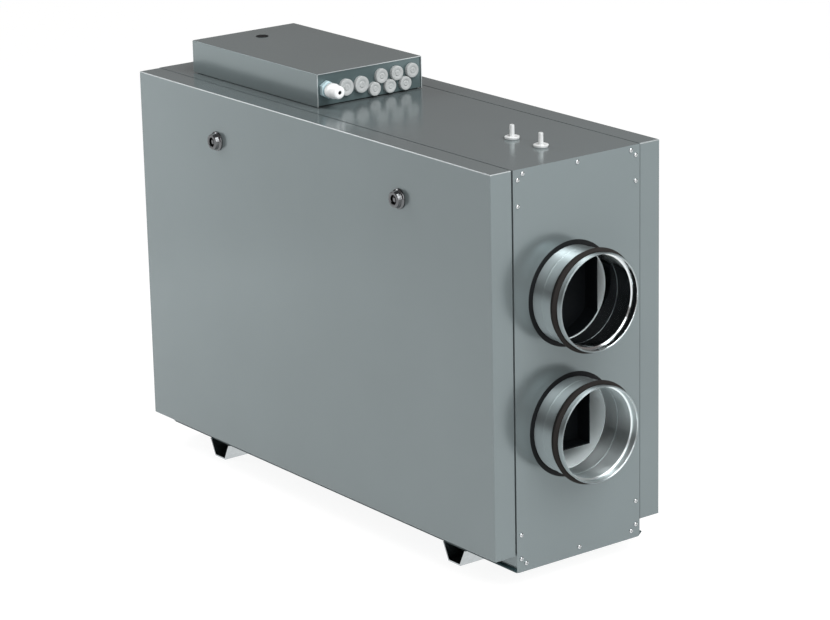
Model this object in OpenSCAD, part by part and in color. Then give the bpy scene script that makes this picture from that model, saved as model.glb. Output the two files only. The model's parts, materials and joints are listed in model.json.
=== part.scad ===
// Compact air handling unit: a folded sheet-metal casing on two cross rails,
// closed by an insulated panel at the front and back. Each end plate carries
// two round duct spigots, and a control box stands on the top cover.
// X runs along the casing, the front panel faces -Y, and the origin lies on
// the floor under the middle of the casing.

/* [Casing] */
// Length of the casing between its end plates
casing_l = 1000; // [920:10:1300]
// Height of the casing from its underside to the top cover
casing_h = 670; // [620:10:800]
// Depth of the casing between the two panel seals
casing_w = 262; // [230:2:340]
// Thickness of the folded casing sheet
sheet_t = 1.5; // [1:0.25:2.5]
// Width of the folded flanges that the panel seals press against
flange_w = 25; // [22:1:40]
// Cut across the lower corners of an end plate
corner_cut = 3; // [1:0.5:8]
// Distance from an end plate to the inner wall behind it
end_wall_t = 80; // [50:1:120]
// Clearance between pieces that are fitted into each other
fit_gap = 0.3; // [0.1:0.05:0.6]

/* [Side panels] */
// Thickness of a side panel
panel_t = 41.5; // [25:0.5:60]
// Height of a panel's lower edge above the casing's underside
panel_lift = 29; // [15:1:45]
// Radius of a panel's folded outer edges
panel_edge_r = 1.5; // [0.5:0.25:4]
// Thickness of the seal behind a panel
seal_t = 2.2; // [2:0.1:6]
// Width of the seal behind a panel
seal_w = 18; // [10:1:19]
// Setback of the seal from the panel's edges
seal_setback = 3; // [3:0.5:6]

/* [Panel locks] */
// Distance of a panel's left lock from the panel's left end
left_lock_inset = 242; // [120:1:360]
// Distance of a panel's right lock from the panel's right end
right_lock_inset = 236; // [120:1:360]
// Distance of the locks from the casing's top
lock_drop = 84; // [60:1:270]
// Diameter of a lock's flange
lock_flange_d = 34; // [30:1:44]
// Thickness of a lock's flange
lock_flange_t = 4; // [2:0.5:4.5]
// Diameter of a lock's barrel
lock_barrel_d = 26; // [20:0.5:26.5]
// How far a lock stands out of its panel
lock_out = 12; // [9:0.5:18]
// Diameter of the key recess in a lock
lock_key_d = 16; // [10:0.5:16.5]
// Depth of the key recess in a lock
lock_key_depth = 7; // [3:0.5:8]
// Diameter of a lock's shank in its panel
lock_shank_d = 12; // [8:0.5:16]

/* [Edge strips] */
// How far an edge strip stands out of the casing's side
strip_w = 5.5; // [3:0.5:9]
// Height of an edge strip
strip_h = 7.5; // [5:0.5:12]
// Height of an edge strip's lower edge above the casing's underside
strip_lift = 0.5; // [0.25:0.25:3]

/* [Rails] */
// Height of the cross rails
rail_h = 30; // [20:1:60]
// Width of a rail at the casing
rail_top_w = 61; // [50:1:90]
// Width of a rail at the floor
rail_foot_w = 32; // [20:1:48]
// Wall of a rail
rail_t = 2.5; // [1:0.25:4]
// Length that a rail stands out past the casing's side
rail_over = 3; // [0:0.5:20]
// Distance of the right rail from the casing's right end
right_rail_inset = 160; // [80:5:300]
// Distance of the left rail from the casing's left end
left_rail_inset = 150; // [80:5:300]

/* [Spigots] */
// Diameter of the duct that slides over a spigot
duct_d = 160; // [125:1:175]
// Clearance between the duct and a spigot, over the diameter
duct_clear = 1; // [0.5:0.1:2]
// Wall of a spigot and of the liner behind it
spigot_t = 1.5; // [1:0.25:1.75]
// Length of a spigot in front of its end plate
spigot_l = 71; // [66:1:110]
// Length of a spigot behind its end plate
spigot_in = 5; // [3:0.5:8]
// Width of the flange that holds a spigot behind its end plate
spigot_flange_w = 9; // [5:0.5:14]
// Shift of the spigots from the casing's middle plane
spigot_y = -14; // [-18:1:18]
// Height of the lower spigot's axis above the casing's underside
spigot_z = 229; // [160:1:250]
// Distance between the axes of the lower and upper spigots
spigot_pitch = 220; // [205:1:280]
// Distance of the rolled bead from the end plate
bead_s = 22; // [14:1:36]
// Outer radius of the rolled bead
bead_r = 2.2; // [2:0.1:3]
// Height of the rolled bead over the spigot
bead_h = 1.2; // [0.8:0.1:1.8]
// Distance of the seal groove from the end plate
groove_s = 46; // [40:1:46]
// Length of the seal groove
groove_l = 11; // [7:0.5:11]
// Depth of the seal groove
groove_depth = 2.5; // [1.5:0.25:4]
// Radius of the rolled rim at the mouth
rim_r = 1.6; // [1.2:0.1:3]
// Height of the rubber lip over the spigot
lip_h = 6.5; // [3:0.5:8]
// Length of the rubber lip past its groove
lip_l = 3; // [2:0.5:4]
// Width of the flat gasket round a spigot
gasket_w = 8; // [4:0.5:12]
// Thickness of the flat gasket round a spigot
gasket_t = 1; // [0.5:0.25:3]

/* [Fan outlets] */
// Distance of a fan outlet's mouth from the inside of the end plate
outlet_setback = 9; // [8:1:20]
// Width of the upper fan outlets
upper_outlet_w = 128; // [80:1:132]
// Height of the upper fan outlets, which the bore cuts off
upper_outlet_h = 160; // [50:1:160]
// Width of the lower fan outlets
lower_outlet_w = 93; // [60:1:110]
// Height of the lower fan outlets
lower_outlet_h = 93; // [60:1:110]
// Rim of a fan outlet
outlet_rim = 2; // [1:0.5:6]
// Depth of a fan outlet's mouth
outlet_depth = 28; // [6:1:28]

/* [Control box] */
// Length of the control box
box_l = 378; // [320:2:420]
// Width of the control box
box_w = 222; // [206:2:226]
// Height of the control box over the top cover
box_h = 58; // [54:1:90]
// Sheet of the control box
box_t = 1.5; // [1:0.25:2.5]
// Distance of the control box from the casing's left end
box_inset = 73; // [40:1:120]
// Shift of the control box from the casing's middle plane
box_y = 4; // [-6:1:6]
// Radius of the cover's folded edges
box_edge_r = 2; // [0.5:0.25:4]
// Setback of the end walls in the cover
box_setback = 2; // [1:0.5:8]
// Height of the cover's lower edges over the top cover
cover_lift = 1.2; // [0.3:0.1:2]
// Thickness of the foam strip under the control box
foam_t = 2.5; // [1:0.25:3]
// Setback of the foam strip from the control box's edges
foam_setback = 4; // [3:0.5:10]
// Diameter of the plug in the cover
plug_d = 23; // [14:0.5:32]
// Distance of the plug from the cover's far end
plug_x = 57; // [30:1:120]
// Thickness of the plug's flange
plug_t = 2; // [1:0.25:4]

/* [Cable entries] */
// Shift of the cable gland's axis from the box's middle plane
gland_y = -92; // [-93:1:-89]
// Height of the cable gland's axis over the top cover
gland_z = 30; // [26:1:33]
// Width of the gland's hexagon across its corners
gland_hex_d = 31; // [26:0.5:32]
// Length of the gland's hexagon
gland_hex_l = 9; // [5:0.5:12]
// Diameter of the gland's thread
gland_thread_d = 20; // [14:0.5:21]
// Length of thread that shows between the hexagon and the cap
gland_thread_l = 4; // [2:0.5:8]
// Diameter of the gland's cap
cap_d = 26; // [22:0.5:30]
// Length of the gland's cap
cap_l = 28; // [22:1:45]
// Diameter of the cap at its tip
cap_tip_d = 20; // [14:0.5:21]
// Diameter of the cable hole in the cap
cap_hole_d = 6.5; // [3:0.5:10]
// Diameter of the large grommets
large_grommet_d = 29; // [24:0.5:29]
// Diameter of the upper grommets
upper_grommet_d = 25.5; // [18:0.5:25.5]
// Diameter of the lower grommets
lower_grommet_d = 24; // [16:0.5:24]
// How far the grommets stand out of the end wall
grommet_out = 7; // [5:0.5:12]
// Depth of the dished face of a grommet
grommet_dish = 1.5; // [1:0.25:3]
// Distance between the two large grommets
large_pitch = 32; // [30:0.5:34]
// Distance between neighbouring grommets of the two rows
row_pitch = 33; // [30:0.5:34]
// Shift of the first large grommet from the box's middle plane
large_y = -52; // [-53:1:-50]
// Height of the large grommets over the top cover
large_z = 27.5; // [22:0.5:32]
// Shift of the first lower grommet from the box's middle plane
lower_y = 7.5; // [6:0.5:9]
// Height of the lower row over the top cover
lower_z = 15.5; // [14.5:0.5:17]
// Shift of the upper row along the lower row
row_shift = 15; // [15:0.5:17]
// Height of the upper row over the lower row
row_rise = 20.5; // [20:0.5:23]

/* [Pressure nipples] */
// Distance of the outer nipple from the casing's right end
nipple_inset = 88; // [40:1:200]
// Distance between the two nipples
nipple_pitch = 73; // [40:1:90]
// Diameter of a nipple's base
nipple_base_d = 25; // [18:0.5:36]
// Thickness of a nipple's base
nipple_base_t = 5; // [3:0.5:8]
// Diameter of a nipple's tube
nipple_d = 8; // [6:0.25:10]
// Diameter of the hole in a nipple
nipple_hole_d = 4.5; // [2:0.25:5.5]
// Height of a nipple over the top cover
nipple_h = 23.5; // [16:0.5:40]

/* [Hidden] */
$fn = 64;
casing_z = rail_h;
top_z = casing_z + casing_h;
seam_y = casing_w / 2;
panel_y = seam_y + seal_t;
panel_h = casing_h - panel_lift;
panel_mid_z = casing_z + panel_lift + panel_h / 2;
tray_h = panel_lift + flange_w;
end_x = casing_l / 2;
face_x = end_x + sheet_t;
strip_tip_t = 1;
lock_places = [-end_x + left_lock_inset, end_x - right_lock_inset];
lock_z = top_z - lock_drop;
outer_nipple_x = end_x - nipple_inset;

// Radii of a spigot, and its stations along its axis from the end plate's face
spigot_ro = (duct_d - duct_clear) / 2;
spigot_ri = spigot_ro - spigot_t;
neck_ro = spigot_ro - groove_depth;
neck_ri = spigot_ri - groove_depth;
groove_end = groove_s + groove_l;
spigot_back = -sheet_t - spigot_in;
liner_gap = 2.5;
lower_z_axis = casing_z + spigot_z;
upper_z_axis = lower_z_axis + spigot_pitch;

// Places on the control box
box_mid_x = -end_x + box_inset + box_l / 2;
box_end_x = box_l / 2 - box_setback;
box_inner_w = box_w - 2 * box_t - 2 * fit_gap;
large_places = [for (i = [0:1]) [large_y + i * large_pitch, large_z]];
lower_places = [for (i = [0:2]) [lower_y + i * row_pitch, lower_z]];
upper_places = [for (p = lower_places) p + [row_shift, row_rise]];
gland_place = [gland_y, gland_z];
grommet_lip = 3;
grommet_neck_l = 3;

galvanised = [0.72, 0.76, 0.77];
casing_grey = [0.52, 0.57, 0.58];
black = [0.06, 0.06, 0.07];
rubber_brown = [0.33, 0.3, 0.29];
pale_plastic = [0.88, 0.89, 0.88];
grommet_grey = [0.64, 0.66, 0.67];

// Rectangle from y = 0 to y = -depth, with its two far corners rounded
module far_rounded(width, depth, r) {
    translate([-width / 2, -depth + r]) square([width, depth - r]);
    translate([-width / 2 + r, -depth]) square([width - 2 * r, depth]);
    for (side = [-1, 1]) translate([side * (width / 2 - r), -depth + r]) circle(r);
}

// Rectangle round the origin with rounded corners
module rounded(width, height, r) {
    square([width, height - 2 * r], center = true);
    square([width - 2 * r, height], center = true);
    for (x = [-1, 1], y = [-1, 1]) translate([x * (width / 2 - r), y * (height / 2 - r)]) circle(r);
}

// Open sheet pan on its floor, with four walls
module pan(length, width, height) {
    difference() {
        translate([-length / 2, -width / 2, 0]) cube([length, width, height]);
        translate([-length / 2 + sheet_t, -width / 2 + sheet_t, sheet_t])
            cube([length - 2 * sheet_t, width - 2 * sheet_t, height]);
    }
}

// Turns a shape whose axis is +Z onto a spigot's axis at the right end
module at_spigot(axis_z) {
    translate([face_x, spigot_y, axis_z]) rotate([0, 90, 0]) children();
}

// Repeats a right-hand piece at the left end
module at_left() {
    mirror([1, 0, 0]) children();
}

// Repeats a front piece at the back
module at_back() {
    rotate([0, 0, 180]) children();
}

module bottom_tray() {
    color(casing_grey) translate([0, 0, casing_z]) pan(casing_l, casing_w, tray_h);
}

module top_cover() {
    color(casing_grey) translate([0, 0, top_z]) mirror([0, 0, 1]) pan(casing_l, casing_w, flange_w);
}

// Flat plate with spigot holes, and a return flange along each upright edge
module right_end_plate() {
    flange_h = casing_h - tray_h - flange_w;
    color(casing_grey) {
        difference() {
            translate([end_x, 0, casing_z]) rotate([90, 0, 90]) linear_extrude(sheet_t)
                polygon([
                    [-seam_y + corner_cut, 0], [seam_y - corner_cut, 0], [seam_y, corner_cut],
                    [seam_y, casing_h], [-seam_y, casing_h], [-seam_y, corner_cut]
                ]);
            for (axis_z = [lower_z_axis, upper_z_axis])
                translate([end_x - sheet_t, spigot_y, axis_z]) rotate([0, 90, 0])
                    cylinder(h = 3 * sheet_t, r = spigot_ro + fit_gap);
        }
        for (y = [-seam_y, seam_y - sheet_t])
            translate([end_x - flange_w, y, casing_z + tray_h]) cube([flange_w, sheet_t, flange_h]);
    }
}

module right_inner_wall() {
    wall_w = casing_w - 2 * sheet_t - 2 * fit_gap;
    color(galvanised) translate([end_x - end_wall_t - sheet_t, -wall_w / 2, casing_z + sheet_t])
        cube([sheet_t, wall_w, casing_h - 2 * sheet_t]);
}

// Insulated panel with folded outer edges and two lock holes
module front_panel() {
    color(casing_grey) difference() {
        translate([0, -panel_y, panel_mid_z]) intersection() {
            linear_extrude(panel_h, center = true) far_rounded(casing_l, panel_t, panel_edge_r);
            rotate([0, -90, 0]) linear_extrude(casing_l, center = true)
                far_rounded(panel_h, panel_t, panel_edge_r);
            rotate([90, 0, 0]) linear_extrude(panel_t) rounded(casing_l, panel_h, panel_edge_r);
        }
        for (x = lock_places)
            translate([x, -panel_y - panel_t / 2, lock_z]) rotate([90, 0, 0])
                cylinder(h = panel_t + 2, d = lock_shank_d + 2 * fit_gap, center = true);
    }
}

// Seal frame pressed between a panel and the casing's flanges
module front_panel_seal() {
    outer = [casing_l - 2 * seal_setback, panel_h - 2 * seal_setback];
    color(black) translate([0, -seam_y, panel_mid_z]) rotate([90, 0, 0]) linear_extrude(seal_t)
        difference() {
            square(outer, center = true);
            square(outer - [2 * seal_w, 2 * seal_w], center = true);
        }
}

// One panel lock: shank, flange, barrel and key recess with its square drive
module panel_lock() {
    flange_r = lock_flange_d / 2;
    barrel_r = lock_barrel_d / 2;
    edge = lock_flange_t / 3;
    drive_w = lock_key_d / 2;
    difference() {
        union() {
            translate([0, 0, -panel_t]) cylinder(h = panel_t + lock_flange_t / 2, d = lock_shank_d);
            rotate_extrude() polygon([
                [0, 0], [flange_r, 0], [flange_r, lock_flange_t - edge], [flange_r - edge, lock_flange_t],
                [barrel_r, lock_flange_t], [barrel_r, lock_out - edge], [barrel_r - edge, lock_out],
                [0, lock_out]
            ]);
        }
        translate([0, 0, lock_out - lock_key_depth]) difference() {
            cylinder(h = lock_key_depth + 1, d = lock_key_d);
            translate([-drive_w / 2, -drive_w / 2, -1]) cube([drive_w, drive_w, lock_key_depth - 1]);
        }
    }
}

module front_panel_locks() {
    color(black) for (x = lock_places)
        translate([x, -panel_y - panel_t, lock_z]) rotate([90, 0, 0]) panel_lock();
}

// Three-cornered rubber strip along the casing's lower edge
module front_edge_strip() {
    color(black) translate([0, -seam_y, casing_z + strip_lift]) rotate([90, 0, -90])
        linear_extrude(casing_l, center = true)
            polygon([[0, 0], [strip_w, strip_h - 2 * strip_tip_t], [strip_w, strip_h - strip_tip_t], [0, strip_h]]);
}

// Trapezoid channel across the casing, closed by the tray above and open at both ends
module rail(x) {
    rail_l = casing_w + 2 * rail_over;
    slope = (rail_top_w - rail_foot_w) / 2 / rail_h;
    side_t = rail_t * sqrt(1 + slope * slope);
    inner_top = rail_top_w / 2 - side_t;
    inner_foot = rail_foot_w / 2 - side_t + slope * rail_t;
    color(galvanised) translate([x, 0, 0]) rotate([90, 0, 0]) linear_extrude(rail_l, center = true)
        polygon([
            [-rail_foot_w / 2, 0], [rail_foot_w / 2, 0], [rail_top_w / 2, rail_h], [inner_top, rail_h],
            [inner_foot, rail_t], [-inner_foot, rail_t], [-inner_top, rail_h], [-rail_top_w / 2, rail_h]
        ]);
}

// Wall of a spigot: back flange, rolled bead, seal groove and rolled rim
module spigot_profile() {
    slope = groove_depth / 2;
    bead_at = [spigot_ro + bead_h - bead_r, bead_s];
    hollow_r = bead_r - spigot_t;
    hollow_l = bead_at[0] - spigot_ri + bead_r;
    difference() {
        union() {
            polygon([
                [spigot_ri, spigot_back], [spigot_ro, spigot_back],
                [spigot_ro, -2 * sheet_t], [spigot_ro + spigot_flange_w, -2 * sheet_t],
                [spigot_ro + spigot_flange_w, -sheet_t], [spigot_ro, -sheet_t],
                [spigot_ro, groove_s], [neck_ro, groove_s + slope],
                [neck_ro, groove_end - slope], [spigot_ro, groove_end],
                [spigot_ro, spigot_l - rim_r], [spigot_ri, spigot_l - rim_r],
                [spigot_ri, groove_end + spigot_t], [neck_ri, groove_end + spigot_t - slope],
                [neck_ri, groove_s - spigot_t + slope], [spigot_ri, groove_s - spigot_t]
            ]);
            translate(bead_at) circle(bead_r);
            translate([spigot_ri + rim_r, spigot_l - rim_r]) circle(rim_r);
        }
        translate(bead_at) circle(hollow_r);
        translate([spigot_ri - bead_r, bead_s - hollow_r]) square([hollow_l, 2 * hollow_r]);
        translate([spigot_ri - bead_r, bead_s - bead_r]) square([bead_r, 2 * bead_r]);
    }
}

module spigot(axis_z) {
    color(galvanised) at_spigot(axis_z) rotate_extrude($fn = 128) spigot_profile();
}

// Rubber lip in a spigot's groove, leaning towards the duct
module lip_seal(axis_z) {
    foot_r = neck_ro + fit_gap;
    ride_r = spigot_ro + fit_gap;
    slope = groove_depth / 2;
    tip_r = spigot_ro + lip_h;
    tip_s = groove_end - 1;
    color(rubber_brown) at_spigot(axis_z) rotate_extrude($fn = 128) polygon([
        [foot_r, groove_s + slope + fit_gap], [ride_r, groove_s + fit_gap],
        [ride_r + lip_h / 3, groove_s + fit_gap], [tip_r, tip_s - 1.5], [tip_r, tip_s],
        [ride_r + 1.5, groove_end + lip_l], [ride_r, groove_end + lip_l],
        [ride_r, groove_end - fit_gap], [foot_r, groove_end - slope - fit_gap]
    ]);
}

// Flat rubber ring between an end plate and its spigot
module gasket(axis_z) {
    inner_r = spigot_ro + fit_gap;
    outer_r = inner_r + gasket_w;
    edge = gasket_t / 3;
    color(black) at_spigot(axis_z) rotate_extrude($fn = 128) polygon([
        [inner_r, 0], [outer_r, 0], [outer_r, gasket_t - edge],
        [outer_r - edge, gasket_t], [inner_r, gasket_t]
    ]);
}

// Round liner that carries the spigot's bore on through the end wall
module liner(axis_z) {
    liner_l = end_wall_t - spigot_in - liner_gap;
    color(galvanised) translate([end_x - end_wall_t, spigot_y, axis_z]) rotate([0, 90, 0])
        difference() {
            cylinder(h = liner_l, r = spigot_ro, $fn = 128);
            translate([0, 0, -1]) cylinder(h = liner_l + 2, r = spigot_ri, $fn = 128);
        }
}

// Box along +X from the origin, cut off where it would reach out of a round bore
module bored_box(length, width, height, bore_r) {
    intersection() {
        translate([0, -width / 2, -height / 2]) cube([length, width, height]);
        translate([-1, 0, 0]) rotate([0, 90, 0]) cylinder(h = length + 2, r = bore_r, $fn = 128);
    }
}

// Dark mouth of the fan behind a spigot, within the liner's bore
module outlet(axis_z, width, height) {
    outlet_l = end_wall_t - outlet_setback;
    bore_r = spigot_ri - fit_gap;
    rims = 2 * outlet_rim;
    color(black) translate([end_x - end_wall_t, spigot_y, axis_z]) difference() {
        bored_box(outlet_l, width, height, bore_r);
        translate([outlet_l - outlet_depth, 0, 0])
            bored_box(outlet_depth + 1, width - rims, height - rims, bore_r - outlet_rim);
    }
}

// Moves a piece from the control box's middle on the top cover to its place
module at_box() {
    translate([box_mid_x, box_y, top_z]) children();
}

// Floor of the control box with an upright wall at each end
module control_box_base() {
    wall_h = box_h - foam_t - box_t - fit_gap;
    color(casing_grey) at_box() {
        translate([-box_end_x, -box_inner_w / 2, foam_t]) cube([2 * box_end_x, box_inner_w, box_t]);
        translate([-box_end_x, -box_inner_w / 2, foam_t]) cube([box_t, box_inner_w, wall_h]);
        difference() {
            translate([box_end_x - box_t, -box_inner_w / 2, foam_t]) cube([box_t, box_inner_w, wall_h]);
            entry_holes([gland_place], gland_thread_d);
            entry_holes(large_places, large_grommet_d - 2 * grommet_lip);
            entry_holes(upper_places, upper_grommet_d - 2 * grommet_lip);
            entry_holes(lower_places, lower_grommet_d - 2 * grommet_lip);
        }
    }
}

// Holes through the control box's right end wall
module entry_holes(places, d) {
    for (p = places) translate([box_end_x - 2 * box_t, p[0], p[1]]) rotate([0, 90, 0])
        cylinder(h = 3 * box_t, d = d + 2 * fit_gap);
}

// Folded cover over the front, top and back of the control box
module control_box_cover() {
    cover_h = box_h - cover_lift;
    color(casing_grey) at_box() difference() {
        translate([0, 0, cover_lift]) rotate([90, 0, 90]) linear_extrude(box_l, center = true) difference() {
            mirror([0, 1]) far_rounded(box_w, cover_h, box_edge_r);
            translate([-box_w / 2 + box_t, -1]) square([box_w - 2 * box_t, cover_h - box_t + 1]);
        }
        translate([-box_l / 2 + plug_x, 0, box_h - 2 * box_t]) cylinder(h = 3 * box_t, d = plug_d - 2);
    }
}

module control_box_foam() {
    foam = [2 * box_end_x - 2 * foam_setback, box_inner_w - 2 * foam_setback, foam_t];
    color(black) at_box() translate([-foam[0] / 2, -foam[1] / 2, 0]) cube(foam);
}

// Blind plug in the control box's cover
module cover_plug() {
    flange_r = plug_d / 2;
    neck_r = flange_r - 1 - fit_gap;
    color(black) at_box() translate([-box_l / 2 + plug_x, 0, box_h]) rotate_extrude() polygon([
        [0, -2 * box_t], [neck_r, -2 * box_t], [neck_r, 0], [flange_r, 0],
        [flange_r - plug_t / 2, plug_t / 2], [neck_r - plug_t, plug_t / 2], [0, plug_t / 4]
    ]);
}

// Moves a piece whose axis is +Z onto an entry of the control box's end wall
module at_entry(place) {
    at_box() translate([box_end_x, place[0], place[1]]) rotate([0, 90, 0]) children();
}

// Hexagon body of the cable gland, threaded through the end wall
module cable_gland() {
    color(pale_plastic) at_entry(gland_place) {
        cylinder(h = gland_hex_l, d = gland_hex_d, $fn = 6);
        translate([0, 0, -3 * box_t]) cylinder(h = gland_hex_l + gland_thread_l + 3 * box_t, d = gland_thread_d);
    }
}

// Domed cap nut of the cable gland, with its cable hole
module gland_cap() {
    cap_r = cap_d / 2;
    tip_r = cap_tip_d / 2;
    round_r = (cap_r - tip_r) / 2;
    color(pale_plastic) at_entry(gland_place) translate([0, 0, gland_hex_l + gland_thread_l])
        difference() {
            rotate_extrude() polygon([
                [0, 0], [cap_r - 1, 0], [cap_r, 1], [cap_r, cap_l / 2], [cap_r - 1, cap_l / 2 + 2],
                [tip_r + round_r / 2, cap_l - round_r],
                for (a = [0:15:90]) [tip_r - round_r / 2 + round_r * cos(a), cap_l - round_r + round_r * sin(a)],
                [0, cap_l]
            ]);
            translate([0, 0, cap_l / 2]) cylinder(h = cap_l, d = cap_hole_d);
        }
}

// Rubber grommet with a dished face and a raised nib in the middle
module grommet(d) {
    r = d / 2;
    neck_r = r - grommet_lip;
    nib_r = r / 3;
    dish_r = r - 2;
    rotate_extrude() polygon([
        [0, -grommet_neck_l], [neck_r, -grommet_neck_l], [neck_r, 0], [r, 0],
        [r, grommet_out - 1], [r - 1, grommet_out], [dish_r, grommet_out],
        [dish_r - 1, grommet_out - grommet_dish], [nib_r + 1, grommet_out - grommet_dish],
        [nib_r, grommet_out - 1], [nib_r - 1, grommet_out], [0, grommet_out]
    ]);
}

module grommets(places, d) {
    color(grommet_grey) for (p = places) at_entry(p) grommet(d);
}

// Pressure tapping: round base with a hollow tube
module nipple(x) {
    base_r = nipple_base_d / 2;
    tube_r = nipple_d / 2;
    edge = nipple_base_t / 3;
    color(pale_plastic) translate([x, 0, top_z]) difference() {
        union() {
            rotate_extrude() polygon([
                [0, 0], [base_r - edge, 0], [base_r, edge], [base_r, nipple_base_t - edge],
                [base_r - edge, nipple_base_t], [0, nipple_base_t]
            ]);
            cylinder(h = nipple_h, r = tube_r);
        }
        translate([0, 0, nipple_base_t]) cylinder(h = nipple_h, d = nipple_hole_d);
    }
}

bottom_tray();
top_cover();
right_end_plate();
at_left() right_end_plate();  // left_end_plate
right_inner_wall();
at_left() right_inner_wall();  // left_inner_wall
front_panel();
at_back() front_panel();  // back_panel
front_panel_seal();
at_back() front_panel_seal();  // back_panel_seal
front_panel_locks();
at_back() front_panel_locks();  // back_panel_locks
front_edge_strip();
at_back() front_edge_strip();  // back_edge_strip
rail(end_x - right_rail_inset);  // right_rail
rail(-end_x + left_rail_inset);  // left_rail
spigot(upper_z_axis);  // right_upper_spigot
spigot(lower_z_axis);  // right_lower_spigot
at_left() spigot(upper_z_axis);  // left_upper_spigot
at_left() spigot(lower_z_axis);  // left_lower_spigot
lip_seal(upper_z_axis);  // right_upper_lip_seal
lip_seal(lower_z_axis);  // right_lower_lip_seal
at_left() lip_seal(upper_z_axis);  // left_upper_lip_seal
at_left() lip_seal(lower_z_axis);  // left_lower_lip_seal
gasket(upper_z_axis);  // right_upper_gasket
gasket(lower_z_axis);  // right_lower_gasket
at_left() gasket(upper_z_axis);  // left_upper_gasket
at_left() gasket(lower_z_axis);  // left_lower_gasket
liner(upper_z_axis);  // right_upper_liner
liner(lower_z_axis);  // right_lower_liner
at_left() liner(upper_z_axis);  // left_upper_liner
at_left() liner(lower_z_axis);  // left_lower_liner
outlet(upper_z_axis, upper_outlet_w, upper_outlet_h);  // right_upper_outlet
outlet(lower_z_axis, lower_outlet_w, lower_outlet_h);  // right_lower_outlet
at_left() outlet(upper_z_axis, upper_outlet_w, upper_outlet_h);  // left_upper_outlet
at_left() outlet(lower_z_axis, lower_outlet_w, lower_outlet_h);  // left_lower_outlet
control_box_base();
control_box_cover();
control_box_foam();
cover_plug();
cable_gland();
gland_cap();
grommets(large_places, large_grommet_d);  // large_grommets
grommets(upper_places, upper_grommet_d);  // upper_grommets
grommets(lower_places, lower_grommet_d);  // lower_grommets
nipple(outer_nipple_x - nipple_pitch);  // inner_nipple
nipple(outer_nipple_x);  // outer_nipple
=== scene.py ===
"""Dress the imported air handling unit: finishes, small fittings, studio and camera."""

from __future__ import annotations

import json
import logging
import math
from dataclasses import dataclass
from enum import Enum
from itertools import pairwise

import bpy
from mathutils import Matrix, Vector

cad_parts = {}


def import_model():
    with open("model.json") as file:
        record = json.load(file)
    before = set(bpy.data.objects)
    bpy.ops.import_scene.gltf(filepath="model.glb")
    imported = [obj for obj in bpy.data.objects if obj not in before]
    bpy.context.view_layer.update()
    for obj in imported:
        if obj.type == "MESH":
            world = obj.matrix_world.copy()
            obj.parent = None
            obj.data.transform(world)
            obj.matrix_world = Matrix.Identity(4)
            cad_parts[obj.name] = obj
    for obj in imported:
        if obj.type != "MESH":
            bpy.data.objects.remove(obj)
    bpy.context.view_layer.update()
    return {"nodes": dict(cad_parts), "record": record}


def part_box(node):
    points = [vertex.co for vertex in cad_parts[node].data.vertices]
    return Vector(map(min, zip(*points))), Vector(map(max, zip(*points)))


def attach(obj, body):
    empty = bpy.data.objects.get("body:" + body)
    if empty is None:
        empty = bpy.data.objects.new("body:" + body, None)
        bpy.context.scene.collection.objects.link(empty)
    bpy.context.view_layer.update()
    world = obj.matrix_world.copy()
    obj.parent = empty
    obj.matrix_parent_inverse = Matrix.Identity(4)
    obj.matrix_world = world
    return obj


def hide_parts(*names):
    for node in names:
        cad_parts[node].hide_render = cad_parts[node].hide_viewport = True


LOG = logging.getLogger("air_handling_unit")
MM = 0.001

Triple = tuple[float, float, float]
Colour = Triple
Outline = list[tuple[float, float]]
Socket = bpy.types.NodeSocket
Piece = bpy.types.Object
Material = bpy.types.Material

CASING_GREY: Colour = (0.192, 0.229, 0.236)
BOX_GREY: Colour = (0.195, 0.235, 0.241)
PATTERN_LOW, PATTERN_HIGH = 0.3, 0.7  # Most of a noise pattern's values lie between these.


class Slot(Enum):
    """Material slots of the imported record."""

    CASING = "casing_sheet"
    BOX = "box_sheet"
    GALVANISED = "galvanised"
    BLACK_RUBBER = "black_rubber"
    LIP_RUBBER = "lip_rubber"
    DARK_FAN = "dark_fan"
    LOCK_METAL = "lock_metal"
    WHITE_PLASTIC = "white_plastic"
    GREY_RUBBER = "grey_rubber"


class End(Enum):
    """Ends of the casing, by the direction that they face along X."""

    RIGHT = 1
    LEFT = -1


class Side(Enum):
    """Long sides of the casing, by the direction that they face along Y."""

    FRONT = -1
    BACK = 1


def toned(colour: Colour, factor: float) -> Colour:
    """Give a colour made lighter or darker by a factor."""
    return tuple(channel * factor for channel in colour)


def corners(node: str, unit: float = 1.0) -> tuple[Vector, Vector]:
    """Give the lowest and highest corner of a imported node's box, in a unit given in metres."""
    low, high = (Vector(corner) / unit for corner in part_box(node))
    return low, high


def middle_of(node: str) -> Vector:
    """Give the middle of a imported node's box in metres."""
    low, high = corners(node)
    return (low + high) / 2


def facing(direction: Vector, at: Vector) -> Matrix:
    """Give the place, in metres, of a piece whose +Z axis turns to a direction."""
    return Matrix.Translation(at) @ direction.to_track_quat("Z", "Y").to_matrix().to_4x4()


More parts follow.
